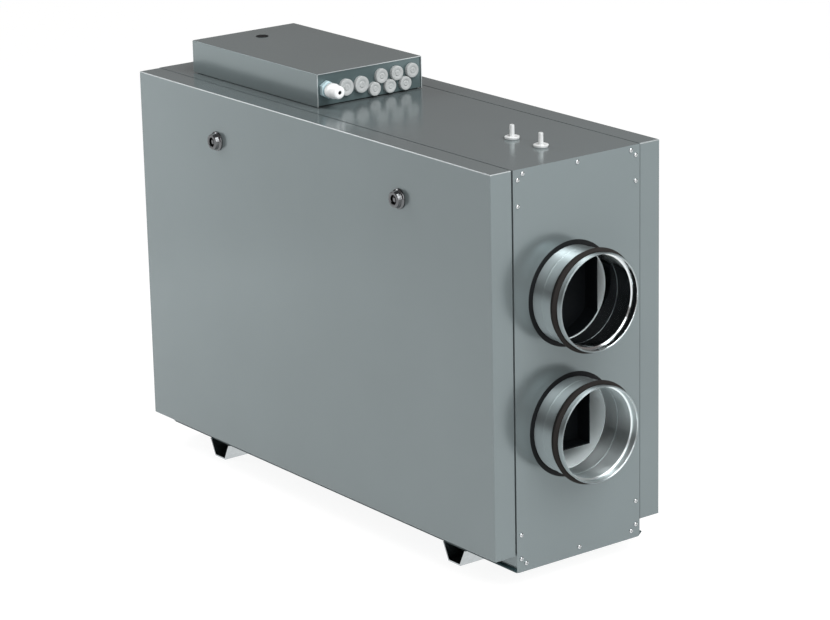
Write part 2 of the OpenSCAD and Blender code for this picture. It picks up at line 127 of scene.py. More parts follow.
class NodeSheet:
    """Node tree of one material."""

    def __init__(self, name: str) -> None:
        """Start a material with only its output node.

        Args:
            name: Name of the material.
        """
        self.material = bpy.data.materials.new(name)
        self.material.use_nodes = True
        self.tree = self.material.node_tree
        self.tree.nodes.clear()
        self.output = self.tree.nodes.new("ShaderNodeOutputMaterial")

    def link(self, source: Socket, target: Socket) -> None:
        """Join an output socket to an input socket."""
        self.tree.links.new(source, target)

    def feed(self, socket: Socket, value: object) -> None:
        """Give an input socket its value.

        Args:
            socket: The input socket.
            value: A socket that is linked to it, or a plain value.
        """
        if isinstance(value, Socket):
            self.link(value, socket)
        else:
            socket.default_value = value

    def add(self, kind: str, **inputs: object) -> bpy.types.Node:
        """Add a node and feed its inputs.

        Args:
            kind: Blender's name of the node.
            inputs: Input socket names, with spaces as underscores, and their values or sockets.

        Returns:
            The new node.
        """
        node = self.tree.nodes.new(kind)
        for name, value in inputs.items():
            self.feed(node.inputs[name.replace("_", " ")], value)
        return node

    def place(self, scale: Triple = (1.0, 1.0, 1.0)) -> Socket:
        """Give the object coordinates in metres, stretched along the three axes."""
        coordinates = self.add("ShaderNodeTexCoord").outputs["Object"]
        return self.add("ShaderNodeMapping", Vector=coordinates, Scale=scale).outputs["Vector"]

    def axes(self) -> tuple[Socket, ...]:
        """Give the three object coordinates in metres, one by one."""
        return tuple(self.add("ShaderNodeSeparateXYZ", Vector=self.place()).outputs)

    def noise(self, place: Socket, per_metre: float, detail: float = 2.0) -> Socket:
        """Add a noise pattern from 0 to 1, with a scale and a number of finer octaves."""
        node = self.add("ShaderNodeTexNoise", Vector=place, Scale=per_metre, Detail=detail)
        return node.outputs["Fac"]

    def math(self, operation: str, *values: Socket | float) -> Socket:
        """Add one step of arithmetic.

        Args:
            operation: Blender's name of the operation.
            values: Sockets or numbers that it works on.

        Returns:
            The socket with the result.
        """
        node = self.add("ShaderNodeMath")
        node.operation = operation
        for socket, value in zip(node.inputs, values):
            self.feed(socket, value)
        return node.outputs["Value"]

    def span(self, value: Socket, low: float, high: float) -> Socket:
        """Map the middle of a pattern's range onto a low and a high number."""
        node = self.add("ShaderNodeMapRange", Value=value, From_Min=PATTERN_LOW,
                        From_Max=PATTERN_HIGH, To_Min=low, To_Max=high)
        return node.outputs["Result"]

    def around(self, value: Socket, middle: float, play: float) -> Socket:
        """Map a pattern onto a number with some play to both sides."""
        return self.span(value, middle - play, middle + play)

    def tones(self, value: Socket, dark: Colour, light: Colour) -> Socket:
        """Colour a pattern between two tones.

        Args:
            value: Socket with values from 0 to 1.
            dark: Tone at the pattern's low values.
            light: Tone at its high values.

        Returns:
            The colour socket.
        """
        node = self.add("ShaderNodeValToRGB", Fac=value)
        stops = ((PATTERN_LOW, dark), (PATTERN_HIGH, light))
        for element, (position, colour) in zip(node.color_ramp.elements, stops):
            element.position = position
            element.color = (*colour, 1.0)
        return node.outputs["Color"]

    def mottled(self, value: Socket, colour: Colour, contrast: float) -> Socket:
        """Colour a pattern darker and lighter than one tone by a share of it."""
        return self.tones(value, toned(colour, 1 - contrast), toned(colour, 1 + contrast))

    def bump(self, height: Socket, depth_mm: float, share: float) -> Socket:
        """Turn a pattern into relief of some depth, of which a share shows."""
        node = self.add("ShaderNodeBump", Height=height, Strength=share, Distance=depth_mm * MM)
        return node.outputs["Normal"]

    def surface(self, **inputs: object) -> None:
        """Add the surface shader, with inputs as for add, and join it to the output."""
        shader = self.add("ShaderNodeBsdfPrincipled", **inputs)
        self.link(shader.outputs["BSDF"], self.output.inputs["Surface"])


@dataclass(frozen=True)
class Finish:
    """Finish of one kind of surface. Depths of relief are in millimetres."""

    name: str
    colour: Colour

    def fill(self, sheet: NodeSheet) -> None:
        """Add the finish's own nodes to a node tree."""
        raise NotImplementedError

    def build(self) -> Material:
        """Make the material.

        Returns:
            The material with its nodes.
        """
        sheet = NodeSheet(self.name)
        self.fill(sheet)
        return sheet.material


@dataclass(frozen=True)
class SheetFinish(Finish):
    """Satin metallic sheet with soft clouds, a faint rolling grain and orange peel."""

    metallic: float = 0.46
    roughness: float = 0.2
    roughness_play: float = 0.015
    mottling: float = 0.02
    clouds_per_metre: float = 5.0
    grain_per_metre: float = 20.0
    grain_stretch: Triple = (9.0, 9.0, 1.0)
    peel_per_metre: float = 420.0
    peel_depth: float = 0.05
    peel_share: float = 0.25

    def tint(self, sheet: NodeSheet) -> Socket:
        """Colour the sheet with soft clouds."""
        clouds = sheet.noise(sheet.place(), self.clouds_per_metre, detail=4.0)
        return sheet.mottled(clouds, self.colour, self.mottling)

    def fill(self, sheet: NodeSheet) -> None:
        """Add the nodes of the tint, the grain and the orange peel.

        Args:
            sheet: The material's node tree.
        """
        grain = sheet.noise(sheet.place(self.grain_stretch), self.grain_per_metre, detail=3.0)
        peel = sheet.noise(sheet.place(), self.peel_per_metre)
        sheet.surface(Metallic=self.metallic, Base_Color=self.tint(sheet),
                      Roughness=sheet.around(grain, self.roughness, self.roughness_play),
                      Normal=sheet.bump(peel, self.peel_depth, self.peel_share))


@dataclass(frozen=True)
class EdgeHighlightFinish(SheetFinish):
    """Sheet of a folded piece with a painted highlight along its edges. Lengths are in metres."""

    half_l: float = 0.5
    # Colour of the painted highlight along the edges.
    highlight_colour: Colour = (0.55, 0.59, 0.6)
    edge_t: float = 0.0015

    def highlight_band(self, sheet: NodeSheet) -> Socket:
        """Mark the edges that carry the painted highlight with 1 and the rest with 0."""
        raise NotImplementedError

    def near(self, sheet: NodeSheet, value: Socket, limit: float) -> Socket:
        """Mark with 1 where a coordinate comes within the edge's width of a limit."""
        return sheet.math("GREATER_THAN", value, limit - self.edge_t)

    def tint(self, sheet: NodeSheet) -> Socket:
        """Colour the sheet, with the painted highlight on its edges."""
        mix = sheet.add("ShaderNodeMixRGB", Fac=self.highlight_band(sheet), Color1=super().tint(sheet),
                        Color2=(*self.highlight_colour, 1.0))
        return mix.outputs["Color"]


@dataclass(frozen=True)
class CutEndHighlightFinish(EdgeHighlightFinish):
    """Sheet of the control box's cover, with a painted highlight on its two cut ends along X."""

    middle_x: float = 0.0

    def highlight_band(self, sheet: NodeSheet) -> Socket:
        """Mark the two cut ends.

        Args:
            sheet: The material's node tree.

        Returns:
            The socket with 1 on the ends and 0 elsewhere.
        """
        along, _, _ = sheet.axes()
        aside = sheet.math("ABSOLUTE", sheet.math("SUBTRACT", along, self.middle_x))
        return self.near(sheet, aside, self.half_l)


@dataclass(frozen=True)
class RimHighlightFinish(EdgeHighlightFinish):
    """Sheet of a side panel, with a painted highlight along its upper outer edges."""

    outer_y: float = 0.17
    top_z: float = 0.7

    def highlight_band(self, sheet: NodeSheet) -> Socket:
        """Mark the rounded edges between the top and the three outer faces.

        Args:
            sheet: The material's node tree.

        Returns:
            The socket with 1 on the edges and 0 elsewhere.
        """
        along, across, up = sheet.axes()
        end = self.near(sheet, sheet.math("ABSOLUTE", along), self.half_l)
        face = self.near(sheet, sheet.math("ABSOLUTE", across), self.outer_y)
        top = self.near(sheet, up, self.top_z)
        return sheet.math("MULTIPLY", top, sheet.math("MAXIMUM", end, face))


@dataclass(frozen=True)
class GalvanisedFinish(Finish):
    """Bright galvanised steel with soft spangle and shallow dents."""

    roughness: float = 0.2
    roughness_play: float = 0.03
    spangle_per_metre: float = 110.0
    spangle_contrast: float = 0.035
    dents_per_metre: float = 60.0
    dent_depth: float = 0.1
    dent_share: float = 0.08

    def fill(self, sheet: NodeSheet) -> None:
        """Add the nodes of the spangle and the dents.

        Args:
            sheet: The material's node tree.
        """
        place = sheet.place()
        cells = sheet.add("ShaderNodeTexVoronoi", Vector=place, Scale=self.spangle_per_metre)
        spangle = sheet.add("ShaderNodeRGBToBW", Color=cells.outputs["Color"]).outputs["Val"]
        dents = sheet.noise(place, self.dents_per_metre)
        sheet.surface(Metallic=1.0,
                      Base_Color=sheet.mottled(spangle, self.colour, self.spangle_contrast),
                      Roughness=sheet.around(spangle, self.roughness, self.roughness_play),
                      Normal=sheet.bump(dents, self.dent_depth, self.dent_share))


@dataclass(frozen=True)
class SpunFinish(Finish):
    """Zinc-coated steel rolled round the ducts' axes, finely marked outside, smoother inside.

    The first colour and roughness are those of the inside. Lengths are in metres.
    """

    inner_roughness: float
    outer_colour: Colour = (0.37, 0.428, 0.44)
    outer_roughness: float = 0.52
    spread: float = 0.96
    spread_turn: float = 0.25
    marks_per_metre: float = 700.0
    marks_stretch: Triple = (1.0, 0.02, 0.02)
    marks_play: float = 0.02
    axis_y: float = -0.014
    axes_z: tuple[float, float] = (0.259, 0.479)
    wall_r: float = 0.0787
    wall_t: float = 0.0006

    def outside(self, sheet: NodeSheet) -> Socket:
        """Tell the outer face from the inner one by the distance to the nearer axis.

        Args:
            sheet: The material's node tree.

        Returns:
            The socket with 0 inside and 1 outside.
        """
        low, high = self.axes_z
        _, across, up = sheet.axes()
        aside = sheet.math("SUBTRACT", across, self.axis_y)
        off_middle = sheet.math("ABSOLUTE", sheet.math("SUBTRACT", up, (low + high) / 2))
        above = sheet.math("SUBTRACT", off_middle, (high - low) / 2)
        squares = (sheet.math("MULTIPLY", offset, offset) for offset in (aside, above))
        radius = sheet.math("SQRT", sheet.math("ADD", *squares))
        step = sheet.add("ShaderNodeMapRange", Value=radius, From_Min=self.wall_r - self.wall_t,
                         From_Max=self.wall_r + self.wall_t)
        return step.outputs["Result"]

    def fill(self, sheet: NodeSheet) -> None:
        """Add the nodes of both faces and of the marks round the axis.

        Args:
            sheet: The material's node tree.
        """
        tangent = sheet.add("ShaderNodeTangent")
        tangent.direction_type = "RADIAL"
        tangent.axis = "X"
        outside = self.outside(sheet)
        marks = sheet.noise(sheet.place(self.marks_stretch), self.marks_per_metre, detail=3.0)
        rough = sheet.math("ADD", sheet.span(outside, self.inner_roughness, self.outer_roughness),
                           sheet.around(marks, 0.0, self.marks_play))
        sheet.surface(Metallic=1.0, Roughness=rough,
                      Base_Color=sheet.tones(outside, self.colour, self.outer_colour),
                      Anisotropic=self.spread, Anisotropic_Rotation=self.spread_turn,
                      Tangent=tangent.outputs["Tangent"])


@dataclass(frozen=True)
class RubberFinish(Finish):
    """Moulded rubber with a fine matt grain."""

    roughness: float = 0.55
    roughness_play: float = 0.05
    gloss: float = 0.3
    mottling: float = 0.06
    clouds_per_metre: float = 40.0
    grain_per_metre: float = 900.0
    grain_depth: float = 0.08
    grain_share: float = 0.2

    def fill(self, sheet: NodeSheet) -> None:
        """Add the nodes of the clouds and the grain.

        Args:
            sheet: The material's node tree.
        """
        place = sheet.place()
        clouds = sheet.noise(place, self.clouds_per_metre, detail=3.0)
        grain = sheet.noise(place, self.grain_per_metre)
        sheet.surface(Specular_IOR_Level=self.gloss,
                      Base_Color=sheet.mottled(clouds, self.colour, self.mottling),
                      Roughness=sheet.around(clouds, self.roughness, self.roughness_play),
                      Normal=sheet.bump(grain, self.grain_depth, self.grain_share))


@dataclass(frozen=True)
class PlasticFinish(Finish):
    """Moulded plastic with a light sheen and faint flow marks."""

    roughness: float = 0.32
    roughness_play: float = 0.03
    gloss: float = 0.5
    mottling: float = 0.015
    flow_per_metre: float = 120.0
    flow_stretch: Triple = (1.0, 1.0, 0.4)
    flow_depth: float = 0.05
    flow_share: float = 0.1

    def fill(self, sheet: NodeSheet) -> None:
        """Add the nodes of the flow marks.

        Args:
            sheet: The material's node tree.
        """
        flow = sheet.noise(sheet.place(self.flow_stretch), self.flow_per_metre, detail=3.0)
        sheet.surface(Specular_IOR_Level=self.gloss,
                      Base_Color=sheet.mottled(flow, self.colour, self.mottling),
                      Roughness=sheet.around(flow, self.roughness, self.roughness_play),
                      Normal=sheet.bump(flow, self.flow_depth, self.flow_share))


@dataclass(frozen=True)
class PolishedFinish(Finish):
    """Polished or plated metal of a small fitting, with slight wear."""

    roughness: float = 0.14
    smoother: float = 0.03
    rougher: float = 0.05
    darkest: float = 0.92
    lightest: float = 1.06
    wear_per_metre: float = 260.0

    def fill(self, sheet: NodeSheet) -> None:
        """Add the nodes of the wear.

        Args:
            sheet: The material's node tree.
        """
        wear = sheet.noise(sheet.place(), self.wear_per_metre, detail=3.0)
        dark, light = (toned(self.colour, factor) for factor in (self.darkest, self.lightest))
        sheet.surface(Metallic=1.0, Base_Color=sheet.tones(wear, dark, light),
                      Roughness=sheet.span(wear, self.roughness - self.smoother,
                                           self.roughness + self.rougher))


class Wardrobe:
    """All finishes of the unit, made once and handed to the pieces."""

    def __init__(self) -> None:
        """Make the materials."""
        finishes = {
            Slot.CASING: SheetFinish("casing_sheet", CASING_GREY),
            Slot.BOX: SheetFinish("box_sheet", BOX_GREY),
            Slot.GALVANISED: GalvanisedFinish("bright_galvanised", (0.5, 0.53, 0.54)),
            Slot.BLACK_RUBBER: RubberFinish("black_rubber", (0.008, 0.009, 0.01), gloss=0.15),
            Slot.LIP_RUBBER: RubberFinish("brown_lip_rubber", (0.022, 0.02, 0.019),
                                          roughness=0.7, gloss=0.06),
            Slot.DARK_FAN: RubberFinish("dark_fan", (0.003, 0.004, 0.005),
                                        roughness=0.6, gloss=0.08),
            Slot.LOCK_METAL: PolishedFinish("dark_lock_metal", (0.15, 0.155, 0.16)),
            Slot.WHITE_PLASTIC: PlasticFinish("white_plastic", (0.9, 0.92, 0.92)),
            Slot.GREY_RUBBER: RubberFinish("grey_grommet_rubber", (0.43, 0.45, 0.45),
                                           roughness=0.45),
        }
        liner = SheetFinish("liner_zinc", (0.86, 0.94, 0.95), metallic=0.1, roughness=0.35).build()
        self.materials = {slot: finish.build() for slot, finish in finishes.items()}
        self.gland_blue = PlasticFinish("pale_gland_body", (0.5, 0.66, 0.7), roughness=0.25).build()
        self.screw_zinc = PolishedFinish("zinc_screw", (0.62, 0.64, 0.65), roughness=0.1).build()
        self.nipple_white = PlasticFinish("nipple_plastic", (0.6, 0.62, 0.62),
                                          roughness=0.28).build()
        self.own_finishes = {
            # Both spigots are the same zinc; the lower one's inside is coloured lighter than the
            # upper's: painted light in its bore.
            "upper_spigot": SpunFinish("spun_zinc_polished_bore", (0.74, 0.78, 0.79), 0.1).build(),
            "lower_spigot": SpunFinish("spun_zinc_satin_bore_painted_light", (0.86, 0.93, 0.94), 0.3).build(),
            "upper_liner": liner,
            "lower_liner": liner,
            # Edge strip coloured dark teal, as the casing looks in shade: painted shade.
            "edge_strip": RubberFinish("edge_strip_painted_shade", (0.022, 0.042, 0.047),
                                       roughness=0.8, gloss=0.05).build(),
            # Control box's base sheet coloured darker than the box's own grey: painted shade, as
            # under the cover's overhang.
            "box_base": SheetFinish("box_base_painted_shade", (0.118, 0.163, 0.169)).build(),
            "box_cover": self.box_cover().build(),
            "panel": self.panel().build(),
        }

    @staticmethod
    def box_cover() -> SheetFinish:
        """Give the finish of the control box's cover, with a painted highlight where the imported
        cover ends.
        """
        low, high = corners("control_box_cover")
        # Painted highlight on the cover's two cut ends.
        return CutEndHighlightFinish("box_cover_sheet", BOX_GREY, middle_x=(low.x + high.x) / 2,
                            half_l=(high.x - low.x) / 2, edge_t=0.00005)

    @staticmethod
    def panel() -> SheetFinish:
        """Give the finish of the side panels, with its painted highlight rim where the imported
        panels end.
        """
        low, high = corners("front_panel")
        # Painted highlight along the panels' upper outer edges.
        return RimHighlightFinish("panel_sheet", CASING_GREY, highlight_colour=(0.5, 0.54, 0.55),
                               half_l=high.x, outer_y=-low.y, top_z=high.z)

    def dress_node(self, name: str, node: Piece, slot: Slot) -> None:
        """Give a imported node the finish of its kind, its name less the first word, or its slot."""
        kind = name.partition("_")[2]
        self._put_on(node, self.own_finishes.get(kind, self.materials[slot]))

    def dress_piece(self, piece: Piece, slot: Slot, material: Material | None = None) -> None:
        """Give a new piece its finish and hang it on the unit.

        Args:
            piece: The new piece.
            slot: The record's slot that it belongs to.
            material: A finish other than the slot's own.
        """
        self._put_on(piece, material or self.materials[slot])
        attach(piece, "root")

    @staticmethod
    def _put_on(thing: Piece, material: Material) -> None:
        """Replace all materials of an object by one."""
        thing.data.materials.clear()
        thing.data.materials.append(material)


class Bench:
    """Modelling moves, each made with Blender's own operators."""

    @staticmethod
    def deselect() -> None:
        """Leave nothing selected."""
        bpy.ops.object.select_all(action="DESELECT")

    @staticmethod
    def pick(piece: Piece) -> None:
        """Select one object and make it the active one.

        Args:
            piece: The object.
        """
        Bench.deselect()
        piece.select_set(True)
        bpy.context.view_layer.objects.active = piece

    @staticmethod
    def turned(name: str, outline: Outline, steps: int) -> Piece:
        """Turn a solid about +Z by drawing a ring along an outline.

        Args:
            name: Name of the piece.
            outline: Radius and height of each ring in millimetres, from the back to the last ring.
            steps: Number of points in a ring.

        Returns:
            The solid, closed by a flat face on its first and last ring.
        """
        Bench.deselect()
        first_r, first_z = outline[0]
        bpy.ops.mesh.primitive_circle_add(vertices=steps, radius=first_r * MM, fill_type="NGON",
                                          location=(0.0, 0.0, first_z * MM))
        piece = bpy.context.active_object
        piece.name = piece.data.name = name
        bpy.ops.object.transform_apply(location=True, rotation=False, scale=False)
        bpy.ops.object.mode_set(mode="EDIT")
        bpy.ops.mesh.select_all(action="SELECT")
        for (last_r, last_z), (r, z) in pairwise(outline):
            rise = (0.0, 0.0, (z - last_z) * MM)
            bpy.ops.mesh.extrude_edges_move(TRANSFORM_OT_translate={"value": rise})
            bpy.ops.transform.resize(value=(r / last_r, r / last_r, 1.0),
                                     center_override=(0.0, 0.0, z * MM))
        bpy.ops.mesh.edge_face_add()
        bpy.ops.mesh.select_all(action="SELECT")
        bpy.ops.mesh.normals_make_consistent(inside=False)
        bpy.ops.object.mode_set(mode="OBJECT")
        return piece

    @staticmethod
    def block(name: str, size: Triple, middle: Triple, edge: float) -> Piece:
        """Make a block with broken edges.

        Args:
            name: Name of the piece.
            size: Lengths along the three axes in millimetres.
            middle: Middle of the block in millimetres.
            edge: Width of the broken edges in millimetres.

        Returns:
            The block.
        """
        Bench.deselect()
        bpy.ops.mesh.primitive_cube_add(size=1.0, location=Vector(middle) * MM,
                                        scale=Vector(size) * MM)
        piece = bpy.context.active_object
        piece.name = piece.data.name = name
        bpy.ops.object.transform_apply(location=True, rotation=True, scale=True)
        bpy.ops.object.mode_set(mode="EDIT")
        bpy.ops.mesh.select_all(action="SELECT")
        bpy.ops.mesh.bevel(offset=edge * MM, segments=2, affect="EDGES")
        bpy.ops.object.mode_set(mode="OBJECT")
        return piece

    @staticmethod
    def rounded(piece: Piece, width: float, segments: int, angle_deg: float = 40.0) -> None:
        """Round a piece's sharp edges with an applied bevel.

        Args:
            piece: The piece.
            width: Width of the rounding in millimetres.
            segments: Number of faces across the rounding.
            angle_deg: Edges sharper than this are rounded.
        """
        Bench.pick(piece)
        bevel = piece.modifiers.new("rounding", "BEVEL")
        bevel.width = width * MM
        bevel.segments = segments
        bevel.limit_method = "ANGLE"
        bevel.angle_limit = math.radians(angle_deg)
        bpy.ops.object.modifier_apply(modifier=bevel.name)

    @staticmethod
    def cut(piece: Piece, cutter: Piece) -> None:
        """Cut one piece out of another.

        Args:
            piece: The piece that stays.
            cutter: The piece that is cut out of it and removed.
        """
        Bench.pick(piece)
        boolean = piece.modifiers.new("cut", "BOOLEAN")
        boolean.operation = "DIFFERENCE"
        boolean.solver = "EXACT"
        boolean.object = cutter
        bpy.ops.object.modifier_apply(modifier=boolean.name)
        bpy.data.objects.remove(cutter)

    @staticmethod
    def joined(name: str, pieces: list[Piece]) -> Piece:
        """Join several meshes.

        Args:
            name: Name of the joined piece.
            pieces: The pieces that go into it.

        Returns:
            The joined piece.
        """
        Bench.pick(pieces[0])
        for piece in pieces:
            piece.select_set(True)
        bpy.ops.object.join()
        piece = bpy.context.active_object
        piece.name = piece.data.name = name
        return piece

    @staticmethod
    def repeated(name: str, pattern: Piece, places: list[Matrix]) -> Piece:
        """Copy a pattern piece to one or more places and join the copies.

        Args:
            name: Name of the joined piece.
            pattern: Piece that is copied, and removed afterwards.
            places: Turn and place of each copy.

        Returns:
            The joined piece, with its place in its mesh.
        """
        copies = []
        for place in places:
            copy = pattern.copy()
            copy.data = pattern.data.copy()
            bpy.context.collection.objects.link(copy)
            copy.matrix_world = place
            Bench.pick(copy)
            bpy.ops.object.transform_apply(location=True, rotation=True, scale=True)
            copies.append(copy)
        bpy.data.objects.remove(pattern)
        return Bench.joined(name, copies)

    @staticmethod
    def smooth(piece: Piece, angle_deg: float = 35.0) -> Piece:
        """Shade a piece smooth.

        Args:
            piece: The piece.
            angle_deg: Edges sharper than this stay sharp.

        Returns:
            The same piece.
        """
        Bench.pick(piece)
        bpy.ops.object.shade_smooth_by_angle(angle=math.radians(angle_deg))
        return piece


@dataclass
class EndScrews:
    """Pan-head screws that hold an end plate to the tray and the cover. Sizes are in mm."""

    end: End
    head_d: float = 7.5
    head_h: float = 2.5
    seat_depth: float = 0.2
    ring_points: int = 24
    slot_w: float = 0.9
    slot_l: float = 4.2
    slot_depth: float = 1.4
    slot_edge: float = 0.1
    side_y: float = 122.0
    side_drops: tuple[float, ...] = (17.0, 59.5)
    side_rises: tuple[float, ...] = (23.0, 64.0)
    row_y: float = 112.0
    top_row_drop: float = 8.0
    foot_row_rise: float = 13.5

    def head(self) -> Piece:
        """Make one domed head with its cross recess.

        Returns:
            The head, with its axis along +Z and the plate's face at zero.
        """
        r, h = self.head_d / 2, self.head_h
        screw = Bench.turned("screw", [
            (r, -self.seat_depth), (r, 0.2 * h), (0.97 * r, 0.45 * h), (0.86 * r, 0.7 * h),
            (0.66 * r, 0.88 * h), (0.4 * r, 0.97 * h), (0.12 * r, h),
        ], self.ring_points)
        for size in ((self.slot_l, self.slot_w), (self.slot_w, self.slot_l)):
            slot = Bench.block("slot", (*size, 2 * self.slot_depth), (0.0, 0.0, h), self.slot_edge)
            Bench.cut(screw, slot)
        return screw

    def places(self) -> list[Matrix]:
        """Give the screws' places on the outside of the end plate.

        Returns:
            The turn and place of each screw: first the sides, then the rows at top and foot.
        """
        low, high = corners(f"{self.end.name.lower()}_end_plate", MM)
        face_x = high.x if self.end is End.RIGHT else low.x
        heights = [high.z - drop for drop in self.side_drops]
        heights += [low.z + rise for rise in self.side_rises]
        spots = [(y, z) for z in heights for y in (-self.side_y, self.side_y)]
        rows = (high.z - self.top_row_drop, low.z + self.foot_row_rise)
        spots += [(y, z) for z in rows for y in (-self.row_y, 0.0, self.row_y)]
        outward = Vector((self.end.value, 0.0, 0.0))
        return [facing(outward, Vector((face_x, y, z)) * MM) for y, z in spots]

    def build(self, wardrobe: Wardrobe) -> None:
        """Make the screws of this end and dress them.

        Args:
            wardrobe: The unit's finishes.
        """
        name, places = f"{self.end.name.lower()}_end_screws", self.places()
        screws = Bench.smooth(Bench.repeated(name, self.head(), places), angle_deg=40.0)
        wardrobe.dress_piece(screws, Slot.GALVANISED, wardrobe.screw_zinc)
        LOG.info("%s: %d heads", name, len(places))


@dataclass
class PanelLocks:
    """Two key locks of a side panel: flange, barrel, key recess and drive. Sizes are in mm."""

    side: Side
    out: float = 12.0
    seat_depth: float = 1.0
    flange_t: float = 4.0
    barrel_r: float = 13.0
    key_r: float = 8.0
    key_depth: float = 7.0
    edge_w: float = 1.1
    ring_points: int = 64
    drive_w: float = 7.0
    drive_drop: float = 2.0
    drive_edge: float = 0.5

    def lock(self, flange_r: float) -> Piece:
        """Make one lock on its panel's face.

        Args:
            flange_r: Radius of the flange in millimetres.

        Returns:
            The lock, with its axis along +Z and the panel's face at zero.
        """
        out, flange_t, barrel_r, key_r = self.out, self.flange_t, self.barrel_r, self.key_r
        floor_z = out - self.key_depth
        body = Bench.turned("lock_body", [
            (flange_r, -self.seat_depth), (flange_r, 0.7 * flange_t),
            (barrel_r + 1.6, flange_t + 0.4), (barrel_r, out), (key_r, out),
            (key_r - 0.3, floor_z),
        ], self.ring_points)
        Bench.rounded(body, self.edge_w, segments=4)
        drive_h = self.key_depth - self.drive_drop
        drive = Bench.block("lock_drive", (self.drive_w, self.drive_w, drive_h),
                            (0.0, 0.0, floor_z + drive_h / 2), self.drive_edge)
        return Bench.joined("lock", [body, drive])

    def build(self, wardrobe: Wardrobe) -> None:
        """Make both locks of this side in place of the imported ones.

        Args:
            wardrobe: The unit's finishes.
        """
        node = f"{self.side.name.lower()}_panel_locks"
        low, high = corners(node, MM)
        flange_r = (high.z - low.z) / 2
        outer_y = low.y if self.side is Side.FRONT else high.y
        face_y = outer_y - self.side.value * self.out
        outward = Vector((0.0, self.side.value, 0.0))
        places = [facing(outward, Vector((x, face_y, low.z + flange_r)) * MM)
                  for x in (low.x + flange_r, high.x - flange_r)]
        locks = Bench.repeated(f"{node}_turned", self.lock(flange_r), places)
        wardrobe.dress_piece(Bench.smooth(locks, angle_deg=30.0), Slot.LOCK_METAL)
        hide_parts(node)
        LOG.info("%s: %d locks", locks.name, len(places))


@dataclass
class GrommetRow:
    """Row of rubber cable grommets on the control box's end wall. Sizes are in mm."""

    node: str
    count: int
    out: float = 7.0
    neck_l: float = 3.0
    lip: float = 3.0
    dish: float = 1.0
    ring_points: int = 56

    def grommet(self, r: float) -> Piece:
        """Make one grommet with a dished face, a ring and a nib.

        Args:
            r: Outer radius in millimetres.

        Returns:
            The grommet, with its axis along +Z and the wall's face at zero.
        """
        out, dish = self.out, self.dish
        nib_r, neck_r = 0.34 * r, r - self.lip
        return Bench.turned("grommet", [
            (neck_r, -self.neck_l), (neck_r, 0.0), (r - 0.4, 0.0), (r, 0.5), (r, out - 1.6),
            (r - 0.3, out - 0.7), (r - 0.9, out - 0.15), (r - 1.6, out), (0.68 * r, out),
            (0.62 * r, out - 0.1), (0.56 * r, out - 0.4 * dish), (0.5 * r, out - 0.8 * dish),
            (nib_r + 0.9, out - dish), (nib_r + 0.4, out - 0.9 * dish),
            (nib_r + 0.1, out - 0.5 * dish), (nib_r - 0.2, out - 0.2 * dish), (nib_r - 0.8, out),
            (0.6 * nib_r, out - 0.1), (0.3 * nib_r, out - 0.5),
        ], self.ring_points)

    def build(self, wardrobe: Wardrobe) -> None:
        """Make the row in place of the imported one.

        Args:
            wardrobe: The unit's finishes.
        """
        low, high = corners(self.node, MM)
        r = (high.z - low.z) / 2
        pitch = (high.y - low.y - 2 * r) / (self.count - 1)
        wall_x, z = high.x - self.out, low.z + r
        outward = Vector((1.0, 0.0, 0.0))
        places = [facing(outward, Vector((wall_x, low.y + r + i * pitch, z)) * MM)
                  for i in range(self.count)]
        row = Bench.smooth(Bench.repeated(f"{self.node}_moulded", self.grommet(r), places))
        wardrobe.dress_piece(row, Slot.GREY_RUBBER)
        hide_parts(self.node)
        LOG.info("%s: %d grommets", row.name, self.count)


